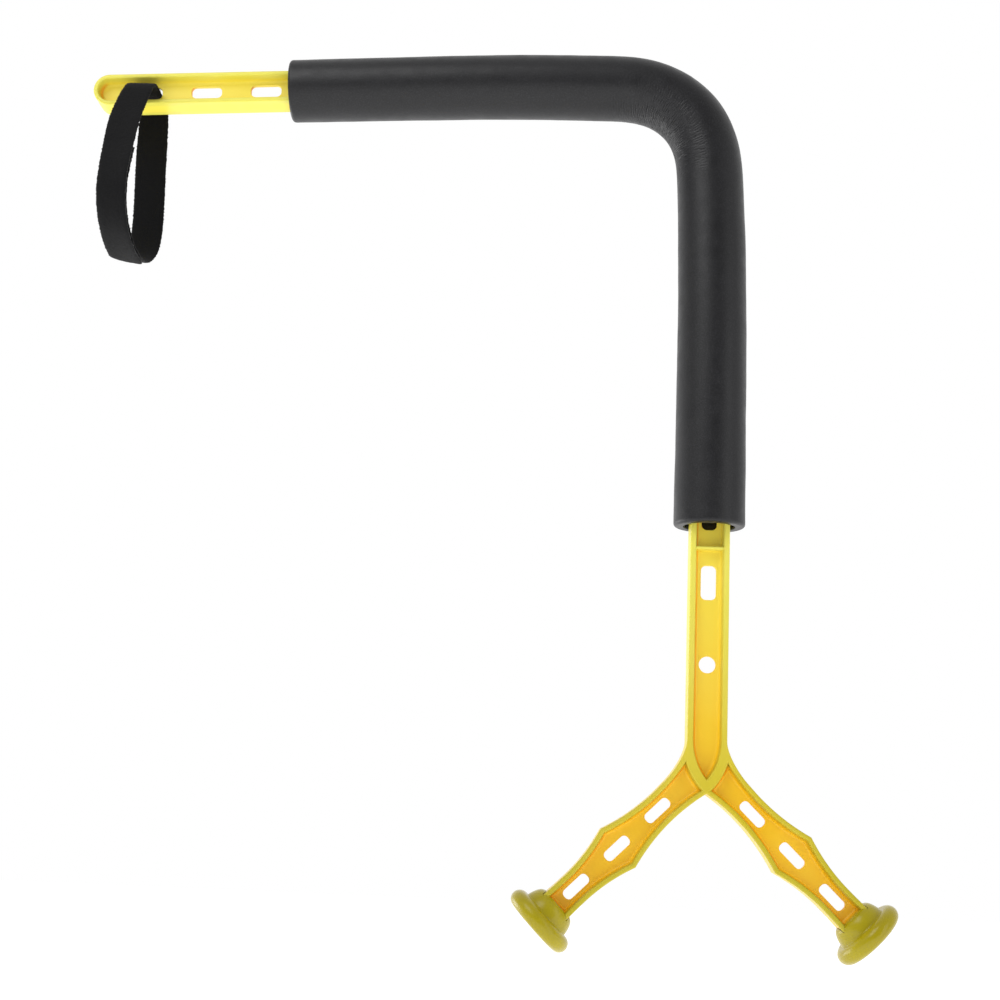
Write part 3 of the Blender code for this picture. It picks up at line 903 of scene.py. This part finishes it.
def strap_skew(t):
    """How far the front strand hangs to the left of the slot."""
    place = t % LOOP_POINTS
    start, end = (smooth_step((place - at) / length) for at, length in SKEW_SPANS)
    return -STRAP_SKEW * start * (1 - end)


def strap_twist(t):
    """How far the right edge stands outside the left one, half of it each."""
    place = (t % LOOP_POINTS - TWIST_PLACE[0]) / TWIST_PLACE[1]
    return STRAP_TWIST * math.exp(-place * place)


def strap_width(t):
    """Width of the strap, which is pinched where it passes the slot."""
    place = t % LOOP_POINTS
    away = min(place, LOOP_POINTS - place)
    return mix(STRAP_PINCHED, STRAP_WIDTH, smooth_step((away - PINCH_SPAN[0]) / PINCH_SPAN[1]))


def make_band(name, start, end, offset, thickness, inset, fuzz, across_count=20):
    """A flat band along the strap's path, with woven edges and a soft surface, and its length."""
    centre = Vector(arm_point(ARM_SLOTS[0], 0))
    total = 0.0
    table = []
    previous = None
    for i in range(PATH_STEPS + 1):
        t = mix(start, end, i / PATH_STEPS)
        at, outward = loop_point(t)
        at = at + outward * offset(t)
        if previous is not None:
            total += (at - previous).length
        table.append((total, t))
        previous = at
    count = round(total / BAND_STEP)
    points, rings = [], []
    k = 0
    for i in range(count + 1):
        length = total * i / count
        while k < PATH_STEPS - 1 and table[k + 1][0] < length:
            k += 1
        (la, ta), (lb, tb) = table[k], table[k + 1]
        t = mix(ta, tb, (length - la) / max(lb - la, 1e-9))
        at, outward = loop_point(t)
        end_share = min(length, total - length) / END_CORNER[0]
        rib_wave = math.sin(2 * math.pi * length / RIB_STEP) * fuzz * 0.35
        ring = []
        for surface, order in ((1, range(across_count + 1)), (-1, range(across_count, -1, -1))):
            for j in order:
                u = 2 * j / across_count - 1
                rag = noise.noise(Vector((length / WEAVE_STEP, u * 2, fuzz * 1e4))) * RAG
                x = u * (strap_width(t) / 2 - inset - 0.0003) + (rag * abs(u) ** 8)
                if end_share < 1 and u < 0:
                    x += END_CORNER[1] * (1 - end_share) ** 2 * abs(u)
                weave = Vector((x / WEAVE_STEP, length / WEAVE_STEP, surface * 4.0))
                soft = max(-0.4 * fuzz, noise.noise(weave) * fuzz + rib_wave)
                thin = 1 - 0.55 * abs(u) ** 10
                up = offset(t) + surface * thickness / 2 * thin + strap_twist(t) * u + surface * soft
                spot = at + outward * up
                ring.append(len(points))
                points.append(Vector((centre.x + strap_skew(t) + x, spot.x, centre.y + spot.y)))
        rings.append(ring)
    faces = []
    size = len(rings[0])
    for a, b in zip(rings, rings[1:]):
        for i in range(size):
            j = (i + 1) % size
            faces.append((a[i], a[j], b[j], b[i]))
    for ring, turned in ((rings[0], True), (rings[-1], False)):
        for j in range(across_count):
            quad = (ring[j], ring[j + 1], ring[size - 2 - j], ring[size - 1 - j])
            faces.append(quad[::-1] if turned else quad)
    return new_object(name, points, faces, 60), total


# ---------------------------------------------------------------- materials


class Nodes:
    """Short calls for building a node tree."""

    def __init__(self, name):
        self.material = bpy.data.materials.new(name)
        self.material.use_nodes = True
        self.tree = self.material.node_tree
        self.shader = self.tree.nodes["Principled BSDF"]

    def new(self, kind, **values):
        node = self.tree.nodes.new(kind)
        for key, value in values.items():
            setattr(node, key, value)
        return node

    def link(self, out, into):
        self.tree.links.new(out, into)

    def set(self, **values):
        """Inputs of the shader by name, with _ for a space."""
        for key, value in values.items():
            self.shader.inputs[key.replace("_", " ")].default_value = value

    def place(self, scale=(1, 1, 1)):
        where = self.new("ShaderNodeTexCoord")
        mapping = self.new("ShaderNodeMapping")
        mapping.inputs["Scale"].default_value = scale
        self.link(where.outputs["Object"], mapping.inputs["Vector"])
        return mapping.outputs["Vector"]

    def noise(self, scale, detail, roughness=0.5, place=None):
        node = self.new("ShaderNodeTexNoise")
        node.inputs["Scale"].default_value = scale
        node.inputs["Detail"].default_value = detail
        node.inputs["Roughness"].default_value = roughness
        self.link(place or self.place(), node.inputs["Vector"])
        return node.outputs["Fac"]

    def math(self, operation, a, b=0.5):
        node = self.new("ShaderNodeMath", operation=operation)
        for socket, value in zip(node.inputs, (a, b)):
            if isinstance(value, (int, float)):
                socket.default_value = value
            else:
                self.link(value, socket)
        return node.outputs[0]

    def span(self, value, low, high, to_low=0.0, to_high=1.0, kind="LINEAR"):
        node = self.new("ShaderNodeMapRange", interpolation_type=kind)
        self.link(value, node.inputs["Value"])
        names = ("From Min", "From Max", "To Min", "To Max")
        for name, number in zip(names, (low, high, to_low, to_high)):
            node.inputs[name].default_value = number
        return node.outputs["Result"]

    def blend(self, factor, a, b):
        node = self.new("ShaderNodeMix", data_type="RGBA")
        sockets = [s for s in node.inputs if s.enabled]
        for socket, value in zip(sockets, (factor, a, b)):
            if isinstance(value, (int, float)):
                socket.default_value = value
            elif isinstance(value, tuple):
                socket.default_value = (*value, 1.0)
            else:
                self.link(value, socket)
        return [s for s in node.outputs if s.enabled][0]

    def bump(self, height, distance, strength=1.0, under=None):
        node = self.new("ShaderNodeBump")
        node.inputs["Distance"].default_value = distance
        node.inputs["Strength"].default_value = strength
        self.link(height, node.inputs["Height"])
        if under is not None:
            self.link(under, node.inputs["Normal"])
        return node.outputs["Normal"]


def srgb(r, g, b):
    """A display colour, 0 to 255, as linear values."""
    found = []
    for c in (r, g, b):
        c /= 255
        found.append(c / 12.92 if c <= 0.04045 else ((c + 0.055) / 1.055) ** 2.4)
    return tuple(found)


def yellow_plastic():
    """Painted light: pale where the web is thin and lit through, olive on the thick rims. Painted
    shade: deeper down the stem and legs, and orange on walls that face right.
    """
    n = Nodes("yellow_plastic_moulded")
    axes = n.new("ShaderNodeSeparateXYZ")
    n.link(n.place(), axes.inputs[0])
    depth = n.math("ABSOLUTE", axes.outputs["Y"])
    # Painted light: by depth, the thin web is painted pale as if lit through from behind, and the
    # thick rims olive.
    thick = n.span(depth, 0.0022, 0.0070, kind="SMOOTHSTEP")
    # Painted shade: the colours turn deeper and more orange down the stem (low) and down the legs
    # (lower), where less light falls.
    low = n.span(axes.outputs["Z"], -0.30, -0.47, kind="SMOOTHSTEP")
    lower = n.span(axes.outputs["Z"], -0.44, -0.53)
    web = n.blend(low, srgb(249, 230, 82), srgb(251, 206, 30))
    web = n.blend(lower, web, srgb(242, 188, 8))
    # Painted shade: walls and fillets whose normal faces right, away from the key light, are painted
    # orange.
    surface = n.new("ShaderNodeNewGeometry")
    facing = n.new("ShaderNodeSeparateXYZ")
    n.link(surface.outputs["Normal"], facing.inputs[0])
    painted_shade_facing_right = n.span(facing.outputs["X"], 0.25, 0.85, kind="SMOOTHSTEP")
    web = n.blend(n.math("MULTIPLY", painted_shade_facing_right, 0.8), web, srgb(244, 150, 12))
    rim = n.blend(low, srgb(228, 220, 88), srgb(208, 188, 42))
    rim = n.blend(lower, rim, srgb(184, 170, 20))
    colour = n.blend(thick, web, rim)
    cloud = n.span(n.noise(22, 2.0), 0.3, 0.7)
    colour = n.blend(n.math("MULTIPLY", cloud, 0.10), colour, srgb(255, 240, 140))
    n.link(colour, n.shader.inputs["Base Color"])
    grain = n.noise(420, 2.0, 0.5)
    rough = n.span(n.noise(60, 3.0), 0.3, 0.7, 0.30, 0.42)
    n.link(rough, n.shader.inputs["Roughness"])
    waves = n.bump(n.noise(35, 1.0), 0.0006, 0.25)
    n.link(n.bump(grain, 0.00002, 0.3, waves), n.shader.inputs["Normal"])
    n.set(IOR=1.49, Specular_IOR_Level=0.32)
    return n.material


def pad_plastic():
    """The same plastic where it is thick, with an olive cast."""
    n = Nodes("pad_plastic_moulded")
    cloud = n.span(n.noise(40, 2.0), 0.3, 0.7)
    colour = n.blend(cloud, srgb(160, 145, 8), srgb(170, 156, 14))
    n.link(colour, n.shader.inputs["Base Color"])
    rough = n.span(n.noise(80, 3.0), 0.3, 0.7, 0.20, 0.30)
    n.link(rough, n.shader.inputs["Roughness"])
    n.link(n.bump(n.noise(1000, 2.0), 0.00002, 0.5), n.shader.inputs["Normal"])
    n.set(IOR=1.49, Specular_IOR_Level=0.35)
    return n.material


def black_foam():
    """Closed-cell foam with a smooth skin and fine pores."""
    n = Nodes("black_foam_skin")
    cloud = n.span(n.noise(30, 3.0), 0.3, 0.7)
    speckle = n.span(n.noise(1400, 2.0), 0.45, 0.75)
    colour = n.blend(cloud, srgb(9, 9, 12), srgb(15, 15, 18))
    colour = n.blend(n.math("MULTIPLY", speckle, 0.25), colour, srgb(60, 60, 64))
    n.link(colour, n.shader.inputs["Base Color"])
    n.link(n.span(n.noise(120, 2.0), 0.3, 0.7, 0.38, 0.48), n.shader.inputs["Roughness"])
    cells = n.new("ShaderNodeTexVoronoi")
    cells.inputs["Scale"].default_value = 1500
    n.link(n.place(), cells.inputs["Vector"])
    fine_bump = n.bump(cells.outputs["Distance"], 0.00008, 0.55)
    n.link(n.bump(n.noise(260, 3.0), 0.00012, 0.5, fine_bump), n.shader.inputs["Normal"])
    n.set(IOR=1.45)
    return n.material


def black_webbing():
    """The brushed loop side of the tape."""
    n = Nodes("black_loop_tape")
    fibre = n.noise(2600, 4.0, 0.7)
    tuft = n.noise(700, 3.0, 0.6)
    colour = n.blend(n.span(fibre, 0.35, 0.75), srgb(3, 3, 4), srgb(12, 12, 14))
    colour = n.blend(n.span(tuft, 0.5, 0.8, 0, 0.4), colour, srgb(22, 22, 25))
    n.link(colour, n.shader.inputs["Base Color"])
    n.set(Roughness=0.9, Specular_IOR_Level=0.22, Sheen_Weight=0.05, Sheen_Roughness=0.45)
    first = n.bump(fibre, 0.00015, 0.8)
    n.link(n.bump(tuft, 0.0003, 0.7, first), n.shader.inputs["Normal"])
    return n.material


def black_hooks():
    """The hook side of the tape, with its rows of hooks."""
    n = Nodes("black_hook_tape")
    grid = n.new("ShaderNodeTexVoronoi")
    grid.inputs["Scale"].default_value = 1100
    grid.inputs["Randomness"].default_value = 0.2
    n.link(n.place(), grid.inputs["Vector"])
    # Painted light: the hooks' tops are painted grey as a highlight, and the gaps between them dark
    # as shade.
    between = n.span(grid.outputs["Distance"], 0.0, 0.5)
    colour = n.blend(between, srgb(60, 60, 64), srgb(22, 22, 24))
    n.link(colour, n.shader.inputs["Base Color"])
    n.set(Roughness=0.55)
    height = n.math("SUBTRACT", 1.0, grid.outputs["Distance"])
    n.link(n.bump(height, 0.0004, 0.8), n.shader.inputs["Normal"])
    return n.material


def zinc_steel():
    """Zinc-plated steel of the hidden screws and nuts."""
    n = Nodes("zinc_plated_steel")
    flow = n.noise(200, 4.0, place=n.place((1, 6, 1)))
    colour = n.blend(n.span(flow, 0.3, 0.7), srgb(176, 178, 182), srgb(205, 206, 206))
    n.link(colour, n.shader.inputs["Base Color"])
    n.link(n.span(flow, 0.3, 0.7, 0.25, 0.45), n.shader.inputs["Roughness"])
    n.link(n.bump(n.noise(900, 3.0), 0.00003, 0.5), n.shader.inputs["Normal"])
    n.set(Metallic=1.0)
    return n.material


def dress(piece, material, body, slot, *nodes):
    """Give a piece its material and body, and hide the nodes it replaces. The slot is not used."""
    piece.data.materials.clear()
    piece.data.materials.append(material)
    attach(piece, body)
    if nodes:
        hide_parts(*nodes)


# ---------------------------------------------------------------- scene


def make_camera():
    """The photograph's camera, turned from a level view by yaw, then pitch, then roll."""
    right, down, forward = Vector((1, 0, 0)), Vector((0, 0, -1)), Vector((0, 1, 0))
    yaw = Matrix.Rotation(CAMERA_YAW, 3, "Z")
    right, down, forward = yaw @ right, yaw @ down, yaw @ forward
    cp, sp = math.cos(CAMERA_PITCH), math.sin(CAMERA_PITCH)
    forward, down = forward * cp - down * sp, down * cp + forward * sp
    cr, sr = math.cos(CAMERA_ROLL), math.sin(CAMERA_ROLL)
    right, down = right * cr + down * sr, down * cr - right * sr
    turn = Matrix((right, -down, -forward)).transposed().to_4x4()
    data = bpy.data.cameras.new("photo_camera")
    data.lens = CAMERA_LENS
    data.sensor_width = SENSOR_WIDTH
    data.clip_start = 0.01
    camera = bpy.data.objects.new("photo_camera", data)
    camera.matrix_world = Matrix.Translation(CAMERA_PLACE) @ turn
    bpy.context.scene.collection.objects.link(camera)
    bpy.context.scene.camera = camera


def area_light(name, place, target, size, power):
    data = bpy.data.lights.new(name, "AREA")
    data.shape = "RECTANGLE"
    data.size, data.size_y = size
    data.energy = power
    light = bpy.data.objects.new(name, data)
    light.location = place
    light.rotation_euler = (Vector(target) - Vector(place)).to_track_quat("-Z", "Y").to_euler()
    bpy.context.scene.collection.objects.link(light)


def make_world():
    """A light tent that looks white to the camera and lights the piece mostly from behind."""
    world = bpy.data.worlds.new("light_tent")
    bpy.context.scene.world = world
    world.use_nodes = True
    tree = world.node_tree
    tree.nodes.clear()
    out = tree.nodes.new("ShaderNodeOutputWorld")
    shown = tree.nodes.new("ShaderNodeBackground")
    lit = tree.nodes.new("ShaderNodeBackground")
    pick = tree.nodes.new("ShaderNodeMixShader")
    path = tree.nodes.new("ShaderNodeLightPath")
    where = tree.nodes.new("ShaderNodeTexCoord")
    axes = tree.nodes.new("ShaderNodeSeparateXYZ")
    ramp = tree.nodes.new("ShaderNodeMapRange")
    for limit, low, high in (("Min", -1.0, TENT_LIGHT[0]), ("Max", 1.0, TENT_LIGHT[1])):
        ramp.inputs["From " + limit].default_value = low
        ramp.inputs["To " + limit].default_value = high
    tree.links.new(where.outputs["Generated"], axes.inputs[0])
    tree.links.new(axes.outputs["Y"], ramp.inputs["Value"])
    tree.links.new(ramp.outputs["Result"], lit.inputs["Strength"])
    shown.inputs["Strength"].default_value = 1.0
    shown.inputs["Color"].default_value = (1, 1, 1, 1)
    lit.inputs["Color"].default_value = (1, 1, 1, 1)
    tree.links.new(path.outputs["Is Camera Ray"], pick.inputs[0])
    tree.links.new(lit.outputs[0], pick.inputs[1])
    tree.links.new(shown.outputs[0], pick.inputs[2])
    tree.links.new(pick.outputs[0], out.inputs[0])


def make_floor():
    mesh = bpy.data.meshes.new("studio_floor")
    corners = ((-1, -1), (1, -1), (1, 1), (-1, 1))
    points = [(x * FLOOR_HALF, y * FLOOR_HALF, FLOOR_HEIGHT) for x, y in corners]
    mesh.from_pydata(points, [], [(0, 1, 2, 3)])
    floor = bpy.data.objects.new("studio_floor", mesh)
    bpy.context.scene.collection.objects.link(floor)
    n = Nodes("studio_white")
    n.set(Roughness=1.0, Specular_IOR_Level=0.0, Base_Color=(0.9, 0.9, 0.9, 1))
    n.set(Emission_Color=(1, 1, 1, 1), Emission_Strength=0.6)
    mesh.materials.append(n.material)


def main():
    bpy.context.scene.view_settings.view_transform = "Standard"
    make_camera()
    make_world()
    make_floor()
    for lamp in LAMPS:
        area_light(*lamp)

    yellow = yellow_plastic()
    pads = pad_plastic()
    foam = black_foam()
    webbing = black_webbing()
    hooks = black_hooks()
    steel = zinc_steel()

    dress(make_arm_bar(), yellow, "brace", "yellow_plastic", "arm_bar")
    dress(make_fork(), yellow, "brace", "yellow_plastic", "fork")
    for word in ("left", "right"):
        dress(make_pad(word), pads, "brace", "pad_plastic", word + "_pad")
    sleeve = make_sleeve()
    dress(sleeve, foam, "brace", "black_foam", "foam_sleeve")

    strap, length = make_band(
        "wrist_strap", STRAP_START, STRAP_END, strap_rise, STRAP_THICKNESS, 0, STRAP_FUZZ
    )
    patch, _ = make_band(
        "hook_patch", *PATCH_SPAN, patch_rise, PATCH_THICKNESS, PATCH_INSET, PATCH_FUZZ
    )
    dress(strap, webbing, "strap_loop", "black_webbing", "strap")
    dress(patch, hooks, "strap_loop", "black_hooks", "strap_hook_patch")

    for name in ("lap_screw_1", "lap_screw_2", "lap_nut_1", "lap_nut_2"):
        node = frame["nodes"][name]
        node.data.materials.clear()
        node.data.materials.append(steel)


main()
